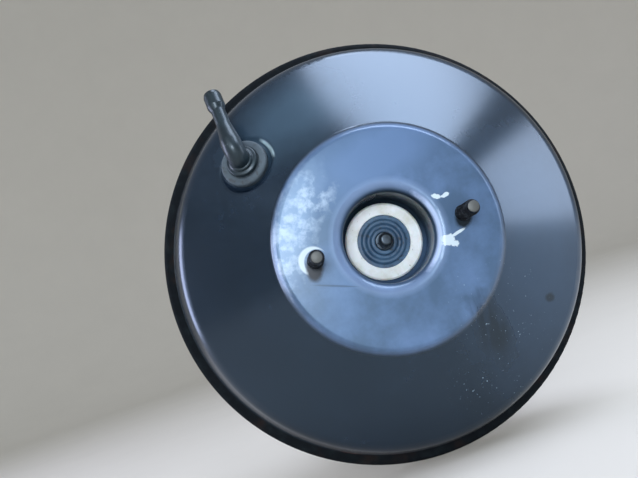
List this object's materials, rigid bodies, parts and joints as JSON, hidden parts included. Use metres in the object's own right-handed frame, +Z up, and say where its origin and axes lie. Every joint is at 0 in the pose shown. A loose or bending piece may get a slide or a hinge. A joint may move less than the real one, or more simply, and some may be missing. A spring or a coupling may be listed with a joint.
{
  "type": "brake booster",
  "caption": "Round vacuum brake booster: two crimped steel shells, diaphragm power piston with control valve, pedal rod with clevis, check valve elbow and mounting studs.",
  "frame": {"origin": "centre of the bulkhead mounting face, on the booster's axis", "axes": "+Y along the booster's axis out of the bulkhead face towards the pedal, -Y towards the master cylinder, +Z up as fitted in the car, X through the two master-cylinder studs"},
  "size_m": [0.252, 0.246, 0.252],
  "materials": {
    "black_gloss_paint": "glossy baked black enamel on pressed steel, worn",
    "black_plastic": "black glass-filled nylon",
    "black_rubber": "black moulded rubber",
    "dark_plated_steel": "dark phosphated steel",
    "felt": "pressed felt",
    "grey_foam": "open-cell foam",
    "phenolic_plastic": "moulded phenolic",
    "spring_steel": "oiled spring wire",
    "white_plastic": "natural white nylon",
    "zinc_plated_steel": "dull zinc plate"
  },
  "bodies": {
    "booster_case": {"front_shell": "black_gloss_paint", "rear_shell": "black_gloss_paint", "front_reinforcement_plate": "zinc_plated_steel", "rear_reinforcement_plate": "zinc_plated_steel", "master_cylinder_studs": "dark_plated_steel", "bulkhead_studs": "zinc_plated_steel", "front_seal": "black_rubber", "seal_retaining_ring": "white_plastic", "hub_seal": "black_rubber", "hub_bearing": "white_plastic", "hub_seal_retainer": "spring_steel", "dust_boot": "black_rubber", "grommet": "black_rubber", "diaphragm": "black_rubber", "return_spring": "spring_steel"},
    "power_piston": {"valve_body": "phenolic_plastic", "stop_key": "zinc_plated_steel", "diaphragm_plate": "zinc_plated_steel", "plate_retainer": "spring_steel", "reaction_disc": "black_rubber", "output_rod": "dark_plated_steel", "output_rod_clip": "spring_steel", "output_rod_adjuster": "dark_plated_steel", "poppet_valve": "black_rubber", "poppet_retainer": "zinc_plated_steel", "poppet_spring": "spring_steel", "input_rod_return_spring": "spring_steel", "air_filter": "grey_foam", "silencer": "felt", "filter_retainer": "black_plastic"},
    "plunger": {"valve_plunger": "zinc_plated_steel"},
    "input_rod": {"input_rod": "zinc_plated_steel", "rod_spring_seat": "zinc_plated_steel", "lock_nut": "zinc_plated_steel", "clevis": "zinc_plated_steel"},
    "check_valve": {"check_valve_elbow": "black_plastic", "check_valve_seat": "black_plastic", "check_valve_spring": "spring_steel"},
    "check_valve_disc": {"check_valve_disc": "black_rubber"}
  },
  "joints": [
    {"name": "piston_stroke", "type": "slide", "parent": "booster_case", "child": "power_piston", "axis": [0, -1, 0], "range_m": [0, 0.03], "stiffness_N_per_m": 2500, "springref_m": -0.03, "deforming": ["return_spring", "diaphragm", "dust_boot"]},
    {"name": "plunger_travel", "type": "slide", "parent": "power_piston", "child": "plunger", "axis": [0, -1, 0], "range_m": [0, 0.0015], "stiffness_N_per_m": 6000, "springref_m": -0.004, "deforming": ["input_rod_return_spring", "dust_boot"]},
    {"name": "input_rod_tilt", "type": "hinge", "parent": "plunger", "child": "input_rod", "pos_m": [0, -0.009, 0], "axis": [1, 0, 0], "range_deg": [-3, 3], "deforming": ["dust_boot", "input_rod_return_spring"]},
    {"name": "elbow_swivel", "type": "hinge", "parent": "booster_case", "child": "check_valve", "pos_m": [-0.05872, -0.0721, 0.06297], "axis": [-0.2333, -0.9397, 0.2501], "range_deg": [-60, 130]},
    {"name": "check_valve_lift", "type": "slide", "parent": "check_valve", "child": "check_valve_disc", "axis": [-0.2333, -0.9397, 0.2501], "range_m": [0, 0.0015], "stiffness_N_per_m": 10, "springref_m": -0.003, "deforming": ["check_valve_spring"]}
  ]
}
